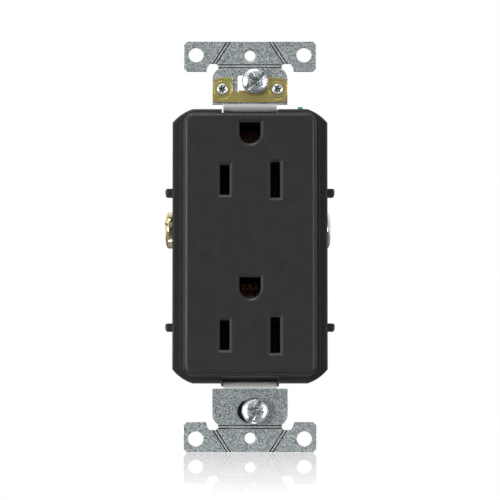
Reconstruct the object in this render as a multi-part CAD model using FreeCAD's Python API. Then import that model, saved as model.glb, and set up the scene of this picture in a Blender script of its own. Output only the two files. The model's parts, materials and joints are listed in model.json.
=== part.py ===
import FreeCAD, Part
import math
import os
from FreeCAD import Vector

# Duplex wall outlet with a rectangular face, back and side wired, self-grounding.
# Millimetres. +X is right seen from the front, +Y goes into the wall, +Z is up.
# The origin is midway between the two box screws, on the wall face of the strap's ears.

# ---- Mounting strap: sheet steel that wraps round the back of the body ----
STRAP_THICK = 1.2
BOX_SCREW_SPACING = 83.34      # the standard spacing of the screws into a wall box
COVER_SCREW_SPACING = 96.84    # the standard spacing of the cover plate screws
COVER_HOLE_R = 1.4             # minor radius of the 6-32 thread
STRAP_END = 52.0               # half the strap's height
EAR_HALF_WIDTH = 16.7
EAR_FOOT = 44.4                # |z| of the ears' edge nearest the middle
EAR_CORNER = 0.8
EAR_HOLE = (13.65, 48.6)       # |x|, |z| of the hole in each break-off ear
EAR_HOLE_R = 1.88
SHOULDER_HALF_WIDTH = 9.5
NECK_HALF_WIDTH = 6.75
WRAP_Z = 34.2                  # |z| of the inner face of the strap's rearward runs
WRAP_Y = 24.0                  # inner face of the strap's run across the back
BEND_R = 0.6                   # inside radius of each bend
GROOVE_Z = 45.65               # |z| of the score line across each end
GROOVE_DEPTH = 0.45
GROOVE_WIDTH = 0.38
GROOVE_PITCH = 0.75            # each score line is a pair of fine grooves this far apart
REAR_GROOVE_DEPTH = 0.25       # a single groove opposite each ear's score line
CROSS_SCORE_X = 7.6            # |x| of the ends of the score line across each end
EAR_SCORE = ((8.85, 46.5), (5.3, 52.0))   # |x|, |z| of the ends of each ear's score line
COVER_HOLE_BEVEL = 0.6
BOX_SLOT = (6.3, 38.9, 43.5)   # upper slot: width, lower z, upper z
BOX_HOLE = (3.2, 2.9)          # lower oval hole: half width, half height

# ---- Face cover: raised face on a flange ----
FACE_SIZE = (33.2, 66.2)
FACE_FRONT = -7.9
FACE_CORNER_R = 2.45
FACE_EDGE_R = 1.1
FACE_DRAFT = 0.25              # how much wider each side is at the foot of the face
LEDGE_SIZE = (35.2, 67.2)
LEDGE_FRONT = -3.4
FLANGE_FRONT = -3.0
FLANGE_BACK = 1.0
FLANGE_HALF = (19.55, 34.6)
FLANGE_CUT = (5.05, 3.5)       # how much of each side a rounded corner takes: across, up
FLANGE_BOW = 0.44              # how far a corner's arc stands out from its chord
FLANGE_BEVEL = 0.35
NOTCH_HALF_WIDTH = 7.1
NOTCH_FLOOR = 33.5
CRUSH_RIB_X = 2.6
FACE_WALL = 2.2
FACE_SIDE_WALL = 1.8
BLADE_TOWER = (5.2, 11.4)      # block round each blade slot: width, height
GROUND_TOWER = 8.6
SCREW_BOSS_R = 2.7
PILOT_FRONT = -4.0             # blind end of the assembly screws' pilot holes

# ---- Plug openings ----
OUTLET_PITCH = 39.05
WIRING_Z = -3.4                # z of the middle of the contact strips
BLADE_X = 6.35
BLADE_TO_GROUND = 11.85
SHORT_SLOT = (2.35, 7.5)
LONG_SLOT = (2.35, 9.0)
GROUND_HOLE_R = 2.65
GROUND_HOLE_TOP = 2.7          # flat top of the ground hole above its centre
BEVEL_WIDTH = 0.65
BEVEL_DEPTH = 0.45

# ---- Back body ----
BODY_HALF = (19.1, 33.1)
STRAP_PAD = (7.4, 34.1)        # half width and |z| of the pads under the strap's rearward runs
BODY_BACK = 24.0
BODY_FLOOR = 2.0
BODY_EDGE = 0.9
CHANNEL_X = 14.5               # |x| of the wall behind the terminal plates
CHANNEL_Z = -3.2
CHANNEL_HALF_HEIGHT = 16.2
CHANNEL_BACK = 16.9
STRIP_POCKET_Z = (3.5, 23.2)   # reach of each contact pocket from the strip's middle
STRIP_POCKET_X = (4.2, 12.4)   # |x| of the leaves' pocket: inner wall, step to the foot's pocket
SCREW_HOLE_R = 2.5             # clearance round the ends of the terminal screws
SCREW_HOLE_X = 9.8             # |x| of those holes' blind ends
GROUND_POCKET_HALF = (3.9, 3.8)
RIB_X = 21.4                   # |x| reached by the ribs that end each wiring channel
RIB_THICK = 1.75
RIB_BACK = 7.0
WIRE_HOLE_R = 1.25

# ---- Contact strips and terminals ----
BRASS_THICK = 1.0
TERMINAL_FACE_X = 15.6         # |x| of a terminal plate's outer face
TERMINAL_Z = 8.5               # from the strip's middle to each terminal screw
TERMINAL_Y = 11.0
TERMINAL_PLATE = (9.6, 9.2)    # depth along Y, height
STRIP_FOOT_Y = 15.0            # front face of the strip's rear web
LEAF_THICK = 0.7
LEAF_HALF_HEIGHT = 3.3
TERMINAL_SCREW_R = 2.05        # 8-32 thread
TAPPED_CLEARANCE = 0.05
CLAMP_THICK = 1.1
CLAMP_SIZE = 8.8
CLAMP_CLEARANCE = 0.07
SCREW_SEAT_GAP = 0.03
WIRE_OFFSET = 3.2              # from a screw's axis to the wire on each side of it
TERMINAL_HEAD = (4.65, 2.1)    # radius, height
TERMINAL_SHANK = 6.6
# Open gap between clamp and terminal plate: the upper pair is backed out, the lower pair is tight.
TERMINAL_GAPS = {
    "upper_hot": 2.7,
    "lower_hot": 0.05,
    "upper_neutral": 1.65,
    "lower_neutral": 0.05,
}

# ---- Ground terminal, on a tab bent down from the strap's upper run ----
GROUND_TAB_X = 8.6
GROUND_TAB_Y = (5.0, 14.0)
GROUND_TAB_FOOT = 27.4
GROUND_AXIS = (9.5, 31.7)      # y, z of the ground screw
GROUND_GAP = 1.2
GROUND_HEAD = (4.9, 1.85)
GROUND_SHANK = 5.5
GROUND_CLAMP_THICK = 1.0
GROUND_CLAMP_SIZE = 7.8
GROUND_RECESS = (10.2, 26.2, 15.2)   # low x, low z, rear y
GROUND_SCREW_HOLE = (2.4, 5.1)       # radius, blind end's x

# ---- Self-grounding clip on the upper end of the strap ----
CLIP_THICK = 0.5
CLIP_FOOT = 36.45
CLIP_TOP = 42.7
CLIP_HALF_WIDTH = 9.5
CLIP_CUT_HALF_WIDTH = 4.4
CLIP_CUT_FLOOR = 39.5
CLIP_TOP_R = 1.9
CLIP_FOOT_R = 1.0
CLIP_SLIT = (2.9, 3.4, 38.7)   # inner |x|, outer |x| and foot of the slits beside the tongue
CLIP_RING = (2.15, 2.45, 0.12) # groove round each rivet: inner radius, outer radius, depth
CLIP_RIVET = (7.0, 39.75)      # |x|, z
CLIP_RIVET_R = 0.9
CLIP_RIVET_HEAD = (1.3, 0.45)
CLIP_RIVET_TAIL = (1.4, 0.35)

# ---- Box screws, washers, rivets and assembly screws ----
BOX_SCREW_X = 1.3              # both box screws stand at the right-hand end of their slots
BOX_SCREW_R = 1.75
BOX_SCREW_HEAD = (3.35, 2.0)
BOX_SCREW_LENGTH = 22.0
BOX_SCREW_NECK = (1.5, 4.6)    # plain neck under the head: radius, length
WASHER_HOLE_R = 1.82
UPPER_WASHER = (3.0, 0.6)      # radius, thickness
LOWER_WASHER = (9.0, 8.0, 0.8)
WASHER_GAP = 0.02
CONTACT_RIVET_R = 1.45
CONTACT_RIVET_HEAD = (2.3, 0.7)
CONTACT_RIVET_DROP = 1.5       # how far each contact rivet is below its ground hole's centre
CONTACT_BASE = (3.2, 3.5, 0.8) # ground contact's base: half width, half height, thickness
ASSEMBLY_SCREWS = [(-12.5, 23.2), (12.5, 23.2), (-12.5, -30.0), (12.5, -30.0)]
ASSEMBLY_SCREW_R = 1.4
ASSEMBLY_HEAD = (2.4, 1.5)
ASSEMBLY_HEAD_SEAT = 22.0
ASSEMBLY_SHANK = 25.0

X_AXIS = Vector(1, 0, 0)
Y_AXIS = Vector(0, 1, 0)
Z_AXIS = Vector(0, 0, 1)
UPPER_BLADE_Z = WIRING_Z + OUTLET_PITCH / 2
LOWER_BLADE_Z = WIRING_Z - OUTLET_PITCH / 2
BLADE_ZS = [UPPER_BLADE_Z, LOWER_BLADE_Z]
GROUND_ZS = [z + BLADE_TO_GROUND for z in BLADE_ZS]
CONTACT_RIVET_ZS = [z - CONTACT_RIVET_DROP for z in GROUND_ZS]
STRAP_FRONT = -STRAP_THICK
BOX_SCREW_Z = BOX_SCREW_SPACING / 2
CLIP_FRONT = STRAP_FRONT - CLIP_THICK


def box(x, y, z):
    """A block between (low, high) pairs along each axis."""
    return Part.makeBox(x[1] - x[0], y[1] - y[0], z[1] - z[0], Vector(x[0], y[0], z[0]))


def wire_xz(start, steps, y=0.0):
    """A closed outline in the plane at y. A step is a point, or a (through, end) pair for an arc."""
    def at(point):
        return Vector(point[0], y, point[1])
    edges = []
    here = start
    for step in list(steps) + [start]:
        if isinstance(step[0], tuple):
            through, end = step
            edges.append(Part.Arc(at(here), at(through), at(end)).toShape())
            here = end
        elif step != here:
            edges.append(Part.LineSegment(at(here), at(step)).toShape())
            here = step
    return Part.Wire(edges)


def prism_xz(wire, low, high):
    """Extrude an outline drawn at y = 0 from y = low to y = high."""
    solid = Part.Face(wire).extrude(Vector(0, high - low, 0))
    solid.translate(Vector(0, low, 0))
    return solid


def rounded_wire(width, height, radius, y, x=0.0, z=0.0):
    """A rectangle with rounded corners, centred on (x, z), in the plane at y."""
    a = width / 2
    b = height / 2
    k = radius * (1 - math.sqrt(0.5))
    return wire_xz(
        (x - a + radius, z - b),
        [
            (x + a - radius, z - b), ((x + a - k, z - b + k), (x + a, z - b + radius)),
            (x + a, z + b - radius), ((x + a - k, z + b - k), (x + a - radius, z + b)),
            (x - a + radius, z + b), ((x - a + k, z + b - k), (x - a, z + b - radius)),
            (x - a, z - b + radius), ((x - a + k, z - b + k), (x - a + radius, z - b)),
        ],
        y,
    )


def rounded_slab(width, height, radius, low, high, x=0.0, z=0.0):
    return prism_xz(rounded_wire(width, height, radius, 0.0, x, z), low, high)


def rod(radius, start, end, x=0.0, z=0.0):
    """A cylinder along +Y from y = start to y = end."""
    return Part.makeCylinder(radius, end - start, Vector(x, start, z), Y_AXIS)


def cross_rod(radius, start, end, y, z):
    """A cylinder along +X from x = start to x = end."""
    return Part.makeCylinder(radius, end - start, Vector(start, y, z), X_AXIS)


def mirror_x(shape):
    return shape.mirror(Vector(0, 0, 0), X_AXIS)


def mirror_z(shape):
    return shape.mirror(Vector(0, 0, 0), Z_AXIS)


def both_halves(half):
    """A right-hand half fused with its mirror image."""
    return half.fuse(mirror_x(half)).removeSplitter()


def merged(shapes):
    return shapes[0].multiFuse(shapes[1:]).removeSplitter()


# ---------------------------------------------------------------- face cover

def flange_wire(half_width, half_height):
    """A tall rectangle whose corners are shallow arcs, with corner cuts like the flange's."""
    across, up = FLANGE_CUT
    chord = math.hypot(across, up)
    corners = []
    for sx, sz in ((1, -1), (1, 1), (-1, 1), (-1, -1)):
        side_point = (sx * half_width, sz * (half_height - up))
        end_point = (sx * (half_width - across), sz * half_height)
        middle = (
            sx * (half_width - across / 2 + FLANGE_BOW * up / chord),
            sz * (half_height - up / 2 + FLANGE_BOW * across / chord),
        )
        corners.append((side_point, middle, end_point))
    (a1, m1, e1), (a2, m2, e2), (a3, m3, e3), (a4, m4, e4) = corners
    return wire_xz(e1, [(m1, a1), a2, (m2, e2), e3, (m3, a3), a4, (m4, e4)])


def ground_hole_wire(z, y, grow=0.0):
    """Ground hole outline, round below and flat on top, grown outwards by grow."""
    r = GROUND_HOLE_R + grow
    top = z + GROUND_HOLE_TOP + grow
    return wire_xz((-r, z), [((0.0, z - r), (r, z)), (r, top), (-r, top)], y)


def bevelled_opening(wire_at):
    """An opening through the face with a bevelled rim. wire_at(y, grow) draws its outline."""
    depth = FLANGE_BACK - FACE_FRONT + 2
    through = Part.Face(wire_at(FACE_FRONT - 1, 0.0)).extrude(Vector(0, depth, 0))
    overshoot = 0.25
    slope = BEVEL_WIDTH / BEVEL_DEPTH
    rim = Part.makeLoft(
        [
            wire_at(FACE_FRONT - overshoot, BEVEL_WIDTH + overshoot * slope),
            wire_at(FACE_FRONT + BEVEL_DEPTH, 0.0),
        ],
        True,
        True,
    )
    return through.fuse(rim)


def blade_opening(size, x, z):
    width, height = size
    corner = 0.15

    def outline(y, grow):
        return rounded_wire(width + 2 * grow, height + 2 * grow, corner, y, x, z)
    return bevelled_opening(outline)


def ground_opening(z):
    def outline(y, grow):
        return ground_hole_wire(z, y, grow)
    return bevelled_opening(outline)


def plug_openings():
    cuts = []
    for blade_z, ground_z in zip(BLADE_ZS, GROUND_ZS):
        cuts.append(blade_opening(SHORT_SLOT, -BLADE_X, blade_z))
        cuts.append(blade_opening(LONG_SLOT, BLADE_X, blade_z))
        cuts.append(ground_opening(ground_z))
    return cuts


def raised_face():
    """The raised block of the face, slightly tapered, with rounded front edges."""
    width, height = FACE_SIZE
    wider = 2 * FACE_DRAFT
    foot = rounded_wire(width + wider, height + wider, FACE_CORNER_R + FACE_DRAFT, FLANGE_FRONT)
    front = rounded_wire(width, height, FACE_CORNER_R, FACE_FRONT)
    block = Part.makeLoft([foot, front], True, True)
    rim = [e for e in block.Edges if all(abs(v.Point.y - FACE_FRONT) < 1e-6 for v in e.Vertexes)]
    return block.makeFillet(FACE_EDGE_R, rim)


def bevelled_plate(half_size, square_y, bevel_y, size):
    """A plate of the flange's outline from square_y to bevel_y, with a bevel of this size at bevel_y."""
    half_width, half_height = half_size
    turn = bevel_y - math.copysign(size, bevel_y - square_y)
    low, high = sorted((square_y, turn))
    plate = prism_xz(flange_wire(half_width, half_height), low, high)
    rims = [flange_wire(half_width, half_height), flange_wire(half_width - size, half_height - size)]
    for rim, y in zip(rims, (turn, bevel_y)):
        rim.translate(Vector(0, y, 0))
    return plate.fuse(Part.makeLoft(rims, True, True)).removeSplitter()


def flange():
    plate = bevelled_plate(FLANGE_HALF, FLANGE_BACK, FLANGE_FRONT, FLANGE_BEVEL)
    reach = FLANGE_HALF[1] + 1
    for side in (1, -1):
        low, high = sorted((side * NOTCH_FLOOR, side * reach))
        notch = box((-NOTCH_HALF_WIDTH, NOTCH_HALF_WIDTH), (FLANGE_FRONT - 1, FLANGE_BACK + 1), (low, high))
        plate = plate.cut(notch)
    return plate


def crush_ribs():
    """Small ribs in the notches that centre the strap."""
    ribs = []
    for side in (1, -1):
        for x in (-CRUSH_RIB_X, CRUSH_RIB_X):
            low, high = sorted((side * (NOTCH_FLOOR - 0.2), side * (WRAP_Z - 0.02)))
            ribs.append(box((x - 0.25, x + 0.25), (FLANGE_BACK - 1.6, FLANGE_BACK), (low, high)))
    return ribs


def face_towers():
    """Blocks behind the face that guide the blades, and bosses for the assembly screws."""
    front = FACE_FRONT + FACE_WALL - 0.1
    towers = []
    for blade_z, ground_z in zip(BLADE_ZS, GROUND_ZS):
        for x in (-BLADE_X, BLADE_X):
            towers.append(rounded_slab(*BLADE_TOWER, 1.0, front, FLANGE_BACK, x, blade_z))
        towers.append(rounded_slab(GROUND_TOWER, GROUND_TOWER, 1.5, front, FLANGE_BACK, 0.0, ground_z))
    for x, z in ASSEMBLY_SCREWS:
        towers.append(rod(SCREW_BOSS_R, front, FLANGE_BACK, x, z))
    return towers


def face_cover():
    cover = flange()
    cover = cover.fuse(rounded_slab(*LEDGE_SIZE, 3.0, LEDGE_FRONT, FLANGE_FRONT + 0.5))
    cover = cover.fuse(raised_face())
    hollow_size = [length - 2 * FACE_SIDE_WALL for length in FACE_SIZE]
    cover = cover.cut(rounded_slab(*hollow_size, 1.5, FACE_FRONT + FACE_WALL, FLANGE_BACK + 1))
    cover = cover.multiFuse(face_towers() + crush_ribs())
    cover = cover.cut(plug_openings())
    pilots = [rod(ASSEMBLY_SCREW_R, PILOT_FRONT, FLANGE_BACK + 1, x, z) for x, z in ASSEMBLY_SCREWS]
    return cover.cut(pilots).removeSplitter()


# ----------------------------------------------------------------- back body

def wiring_channel_cut(side):
    """The open channel along one side that holds the terminal plates and screws."""
    x = sorted((side * CHANNEL_X, side * (RIB_X + 2)))
    z = (CHANNEL_Z - CHANNEL_HALF_HEIGHT, CHANNEL_Z + CHANNEL_HALF_HEIGHT)
    return box(x, (FLANGE_BACK - 1, CHANNEL_BACK), z)


def channel_rib(side, end):
    """A rib past the body's side that closes one end of a wiring channel."""
    x = sorted((side * (BODY_HALF[0] - 1), side * RIB_X))
    near = CHANNEL_Z + end * CHANNEL_HALF_HEIGHT
    low, high = sorted((near, near + end * RIB_THICK))
    rib = box(x, (FLANGE_BACK, RIB_BACK), (low, high))
    outer = [e for e in rib.Edges if all(abs(v.Point.x - side * RIB_X) < 1e-6 for v in e.Vertexes)]
    return rib.makeFillet(0.6, outer)


def contact_pocket(side, outlet):
    """The pocket for one half of a contact strip, open to the front."""
    front = FLANGE_BACK - 1
    back = STRIP_FOOT_Y + BRASS_THICK + 0.1
    near, far = STRIP_POCKET_Z
    inner_x, step_x = STRIP_POCKET_X
    leaf_near = OUTLET_PITCH / 2 - LEAF_HALF_HEIGHT - 0.3
    along = sorted((WIRING_Z + outlet * near, WIRING_Z + outlet * far))
    across = sorted((WIRING_Z + outlet * leaf_near, WIRING_Z + outlet * far))
    foot = box(sorted((side * step_x, side * (TERMINAL_FACE_X + 0.1))), (front, back), along)
    leaves = box(sorted((side * inner_x, side * (step_x + 0.1))), (front, back), across)
    return [foot, leaves]


def wire_entries(side, terminal_z):
    """Two round wire holes from the back into the channel, with funnel mouths."""
    cuts = []
    x = side * (TERMINAL_FACE_X + WIRE_HOLE_R + 0.05)
    for offset in (-WIRE_OFFSET, WIRE_OFFSET):
        z = terminal_z + offset
        cuts.append(rod(WIRE_HOLE_R, CHANNEL_BACK - 1, BODY_BACK + 1, x, z))
        mouth = Vector(x, BODY_BACK - 0.75, z)
        cuts.append(Part.makeCone(WIRE_HOLE_R, WIRE_HOLE_R + 0.5, 0.8, mouth, Y_AXIS))
    return cuts


def terminal_cuts(side):
    """Room for one side's screws and their wires."""
    cuts = []
    for outlet in (-1, 1):
        terminal_z = WIRING_Z + outlet * TERMINAL_Z
        start, end = sorted((side * SCREW_HOLE_X, side * (CHANNEL_X + 1)))
        cuts.append(cross_rod(SCREW_HOLE_R, start, end, TERMINAL_Y, terminal_z))
        cuts += wire_entries(side, terminal_z)
        cuts += contact_pocket(side, outlet)
    return cuts


def ground_terminal_cuts():
    """The recess at the upper right for the ground screw, its clamp and the tab, open at the top."""
    low_x, low_z, rear = GROUND_RECESS
    axis_y, axis_z = GROUND_AXIS
    hole_r, hole_x = GROUND_SCREW_HOLE
    top = STRAP_PAD[1] + 1
    z = (low_z, top)
    tab_back = GROUND_TAB_Y[1] + 0.4
    return [
        box((low_x, BODY_HALF[0] + 1), (FLANGE_BACK - 1, rear), z),
        box((GROUND_TAB_X - 0.3, low_x + 0.1), (FLANGE_BACK - 1, tab_back), z),
        cross_rod(hole_r, hole_x, GROUND_TAB_X, axis_y, axis_z),
        box((hole_x, GROUND_TAB_X), (axis_y - hole_r, axis_y + hole_r), (axis_z, top)),
    ]


def strap_pads():
    """A low pad at each end that carries the strap's rearward run."""
    half_width, reach = STRAP_PAD
    pads = []
    for side in (-1, 1):
        z = sorted((side * (BODY_HALF[1] - 1), side * reach))
        pads.append(box((-half_width, half_width), (FLANGE_BACK, BODY_BACK - BODY_EDGE), z))
    return pads


def back_body():
    block = bevelled_plate(BODY_HALF, FLANGE_BACK, BODY_BACK, BODY_EDGE).multiFuse(strap_pads())
    cuts = ground_terminal_cuts()
    for side in (-1, 1):
        cuts.append(wiring_channel_cut(side))
        cuts += terminal_cuts(side)
    floor = BODY_BACK - BODY_FLOOR
    half_width, half_height = GROUND_POCKET_HALF
    for ground_z, rivet_z in zip(GROUND_ZS, CONTACT_RIVET_ZS):
        z = (ground_z - half_height, ground_z + half_height)
        cuts.append(box((-half_width, half_width), (FLANGE_BACK - 1, floor), z))
        cuts.append(rod(CONTACT_RIVET_R, floor - 1, BODY_BACK + 1, 0.0, rivet_z))
    for x, z in ASSEMBLY_SCREWS:
        cuts.append(rod(ASSEMBLY_SCREW_R + 0.15, FLANGE_BACK - 1, BODY_BACK + 1, x, z))
        cuts.append(rod(ASSEMBLY_HEAD[0] + 0.25, ASSEMBLY_HEAD_SEAT, BODY_BACK + 1, x, z))
    block = block.cut(cuts)
    ribs = [channel_rib(side, end) for side in (-1, 1) for end in (-1, 1)]
    return block.multiFuse(ribs).removeSplitter()


# --------------------------------------------------------------------- strap

def strap_wrap():
    """The strap's two rearward runs, its run across the back, and the bends at the front."""
    outer_r = BEND_R + STRAP_THICK
    height = 2 * (WRAP_Z + STRAP_THICK)
    front = BEND_R
    back = WRAP_Y + STRAP_THICK
    outside = box((-NECK_HALF_WIDTH, NECK_HALF_WIDTH), (front, back), (-height / 2, height / 2))
    inside = box((-NECK_HALF_WIDTH - 1, NECK_HALF_WIDTH + 1), (front - 1, WRAP_Y), (-WRAP_Z, WRAP_Z))
    outside = outside.makeFillet(outer_r, edges_along_x(outside, back))
    inside = inside.makeFillet(BEND_R, edges_along_x(inside, WRAP_Y))
    wrap = outside.cut(inside)
    for side in (1, -1):
        wrap = wrap.fuse(front_bend(side))
    return wrap


def edges_along_x(solid, y):
    """The two edges of a block that run along X at this y."""
    found = []
    for edge in solid.Edges:
        ends = [v.Point for v in edge.Vertexes]
        if all(abs(p.y - y) < 1e-6 for p in ends) and abs(ends[0].x - ends[1].x) > 1:
            found.append(edge)
    return found


def front_bend(side):
    """A quarter-round bend from a rearward run to an end plate."""
    centre = Vector(-NECK_HALF_WIDTH, BEND_R, side * (WRAP_Z + STRAP_THICK + BEND_R))
    width = 2 * NECK_HALF_WIDTH
    ring = Part.makeCylinder(BEND_R + STRAP_THICK, width, centre, X_AXIS)
    ring = ring.cut(Part.makeCylinder(BEND_R, width, centre, X_AXIS))
    z = sorted((side * WRAP_Z, centre.z))
    return ring.common(box((-NECK_HALF_WIDTH, NECK_HALF_WIDTH), (STRAP_FRONT, BEND_R), z))


def strap_end_half():
    """Right half of the upper end plate: shoulder, notch and break-off ear."""
    c = EAR_CORNER
    foot = WRAP_Z + STRAP_THICK + BEND_R
    outline = wire_xz(
        (0.0, foot),
        [
            (SHOULDER_HALF_WIDTH, foot), (SHOULDER_HALF_WIDTH, 42.4),
            ((9.1, 43.9), (8.05, 45.0)), (8.05, 45.9), (8.6, 46.4), (10.2, 46.4),
            ((10.75, 45.5), (11.0, EAR_FOOT)),
            (EAR_HALF_WIDTH - c, EAR_FOOT), (EAR_HALF_WIDTH, EAR_FOOT + c),
            (EAR_HALF_WIDTH, STRAP_END - c), (EAR_HALF_WIDTH - c, STRAP_END),
            (0.0, STRAP_END),
        ],
    )
    return prism_xz(outline, STRAP_FRONT, 0.0)


def groove(start, end, offset, y):
    """A straight cut over the span y between two (x, z) points, moved sideways by offset."""
    dx = end[0] - start[0]
    dz = end[1] - start[1]
    z = (offset - GROOVE_WIDTH / 2, offset + GROOVE_WIDTH / 2)
    cut = box((-0.4, math.hypot(dx, dz) + 0.4), y, z)
    cut.rotate(Vector(0, 0, 0), Y_AXIS, -math.degrees(math.atan2(dz, dx)))
    cut.translate(Vector(start[0], 0, start[1]))
    return cut


def score_line(start, end):
    """A pair of fine parallel grooves in the strap's front between two (x, z) points."""
    y = (STRAP_FRONT - 1, STRAP_FRONT + GROOVE_DEPTH)
    return [groove(start, end, offset, y) for offset in (-GROOVE_PITCH / 2, GROOVE_PITCH / 2)]


def strap_end_cuts():
    """Cuts shared by both ends, drawn for the upper one."""
    cuts = score_line((-CROSS_SCORE_X, GROOVE_Z), (CROSS_SCORE_X, GROOVE_Z))
    cover_z = COVER_SCREW_SPACING / 2
    cuts.append(rod(COVER_HOLE_R, STRAP_FRONT - 1, 1, 0.0, cover_z))
    bevel = COVER_HOLE_BEVEL
    rim = Vector(0, STRAP_FRONT - 0.25, cover_z)
    cuts.append(Part.makeCone(COVER_HOLE_R + bevel, COVER_HOLE_R, bevel, rim, Y_AXIS))
    for side in (-1, 1):
        cuts.append(rod(EAR_HOLE_R, STRAP_FRONT - 1, 1, side * EAR_HOLE[0], EAR_HOLE[1]))
        start, end = [(side * x, z) for x, z in EAR_SCORE]
        cuts += score_line(start, end)
        cuts.append(groove(start, end, 0.0, (-REAR_GROOVE_DEPTH, 1)))
    return cuts


def ground_tab():
    """The tab on the upper run that carries the ground screw."""
    inner = GROUND_TAB_X
    outer = inner + STRAP_THICK
    top = WRAP_Z + STRAP_THICK
    small = 0.6
    large = small + STRAP_THICK
    centre = (inner - small, WRAP_Z - small)
    k = math.sqrt(0.5)
    outline = wire_xz(
        (NECK_HALF_WIDTH - 0.5, WRAP_Z),
        [
            (centre[0], WRAP_Z), ((centre[0] + small * k, centre[1] + small * k), (inner, centre[1])),
            (inner, GROUND_TAB_FOOT), (outer, GROUND_TAB_FOOT), (outer, centre[1]),
            ((centre[0] + large * k, centre[1] + large * k), (centre[0], top)),
            (NECK_HALF_WIDTH - 0.5, top),
        ],
    )
    tab = prism_xz(outline, *GROUND_TAB_Y)
    axis_y, axis_z = GROUND_AXIS
    return tab.cut(cross_rod(TERMINAL_SCREW_R + TAPPED_CLEARANCE, inner - 1, outer + 1, axis_y, axis_z))


def mounting_strap():
    end_plate = both_halves(strap_end_half())
    cuts = strap_end_cuts()
    upper = end_plate.cut(cuts)
    lower = mirror_z(upper)
    slot_width, slot_low, slot_high = BOX_SLOT
    slot_z = (slot_low + slot_high) / 2
    upper = upper.cut(rounded_slab(slot_width, slot_high - slot_low, 0.5, -3, 1, 0.0, slot_z))
    for x in (-CLIP_RIVET[0], CLIP_RIVET[0]):
        upper = upper.cut(rod(CLIP_RIVET_R, -3, 1, x, CLIP_RIVET[1]))
    half_width, half_height = BOX_HOLE
    oval = Part.Ellipse(Vector(half_width, 0, 0), Vector(0, half_height, 0), Vector(0, 0, 0)).toShape()
    hole = Part.Face(Part.Wire([oval])).extrude(Vector(0, 0, 4))
    hole.rotate(Vector(0, 0, 0), X_AXIS, -90)
    hole.translate(Vector(0, -3, -BOX_SCREW_Z))
    lower = lower.cut(hole)
    strap = merged([strap_wrap(), upper, lower, ground_tab()])
    for rivet_z in CONTACT_RIVET_ZS:
        strap = strap.cut(rod(CONTACT_RIVET_R, WRAP_Y - 1, WRAP_Y + 3, 0.0, rivet_z))
    return strap


# ------------------------------------------------------- self-grounding clip

def ground_clip():
    """Sheet brass on the upper shoulder, with a tongue that bears on the box screw."""
    w = CLIP_HALF_WIDTH
    cut = CLIP_CUT_HALF_WIDTH
    floor = CLIP_CUT_FLOOR
    inner, outer, slit_foot = CLIP_SLIT
    top = CLIP_TOP
    foot = CLIP_FOOT
    k = math.sqrt(0.5)
    r = CLIP_TOP_R
    small = CLIP_FOOT_R
    lip = 0.4
    outline = wire_xz(
        (-w + small, foot),
        [
            (w - small, foot), (w, foot + small), (w, top - r),
            ((w - r + r * k, top - r + r * k), (w - r, top)), (cut, top), (cut, floor),
            (outer, floor), (outer, slit_foot), (inner, slit_foot), (inner, floor + lip),
            (-0.2, floor + lip), (-0.2 - lip, floor), (-inner, floor), (-inner, slit_foot),
            (-outer, slit_foot), (-outer, floor), (-cut, floor), (-cut, top),
            (-w + r, top), ((-w + r - r * k, top - r + r * k), (-w, top - r)),
            (-w, foot + small), ((-w + small - small * k, foot + small - small * k), (-w + small, foot)),
        ],
    )
    clip = prism_xz(outline, CLIP_FRONT, STRAP_FRONT)
    ring_inner, ring_outer, ring_depth = CLIP_RING
    for x in (-CLIP_RIVET[0], CLIP_RIVET[0]):
        ring = rod(ring_outer, CLIP_FRONT - 1, CLIP_FRONT + ring_depth, x, CLIP_RIVET[1])
        ring = ring.cut(rod(ring_inner, CLIP_FRONT - 2, CLIP_FRONT + 1, x, CLIP_RIVET[1]))
        clip = clip.cut(ring).cut(rod(CLIP_RIVET_R, CLIP_FRONT - 1, STRAP_FRONT + 1, x, CLIP_RIVET[1]))
    return clip


def clip_rivet(x):
    """A rivet through clip and strap, with a star-punched head at the front."""
    z = CLIP_RIVET[1]
    head_r, head_h = CLIP_RIVET_HEAD
    rivet = rod(CLIP_RIVET_R, CLIP_FRONT, 0.0, x, z)
    front = rod(head_r, CLIP_FRONT - head_h, CLIP_FRONT, x, z)
    front = front.makeChamfer(0.2, [front.Edges[i] for i in rim_indices(front, CLIP_FRONT - head_h)])
    tail_r, tail_h = CLIP_RIVET_TAIL
    rear = rod(tail_r, 0.0, tail_h, x, z)
    rivet = rivet.fuse([front, rear])
    for angle in (20, 80, 140):
        star = box((-0.8, 0.8), (CLIP_FRONT - 1, CLIP_FRONT - head_h + 0.18), (-0.12, 0.12))
        star.rotate(Vector(0, 0, 0), Y_AXIS, angle)
        star.translate(Vector(x, 0, z))
        rivet = rivet.cut(star)
    return rivet.removeSplitter()


def rim_indices(solid, y):
    """Numbers of the circular edges of a rod at this y."""
    found = []
    for i, edge in enumerate(solid.Edges):
        if isinstance(edge.Curve, Part.Circle) and abs(edge.Curve.Center.y - y) < 1e-6:
            found.append(i)
    return found


# ------------------------------------------------------------ contact strips

def spring_leaf(gap_root, gap_waist, gap_mouth, front, waist, root, half_height):
    """One leaf on the +X side of a contact, seen from above: it narrows to a waist and flares out."""
    t = LEAF_THICK
    points = [
        Vector(gap_root, root, 0), Vector(gap_waist, waist, 0), Vector(gap_mouth, front, 0),
        Vector(gap_mouth + t, front, 0), Vector(gap_waist + t, waist, 0), Vector(gap_root + t, root, 0),
    ]
    face = Part.Face(Part.makePolygon(points + points[:1]))
    leaf = face.extrude(Vector(0, 0, 2 * half_height))
    leaf.translate(Vector(0, 0, -half_height))
    return leaf


def blade_contact():
    """A pair of leaves that grip one blade, centred on x = 0, z = 0."""
    leaf = spring_leaf(1.0, 0.6, 1.25, 2.6, 5.2, STRIP_FOOT_Y + 0.2, LEAF_HALF_HEIGHT)
    return [leaf, mirror_x(leaf)]


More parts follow.
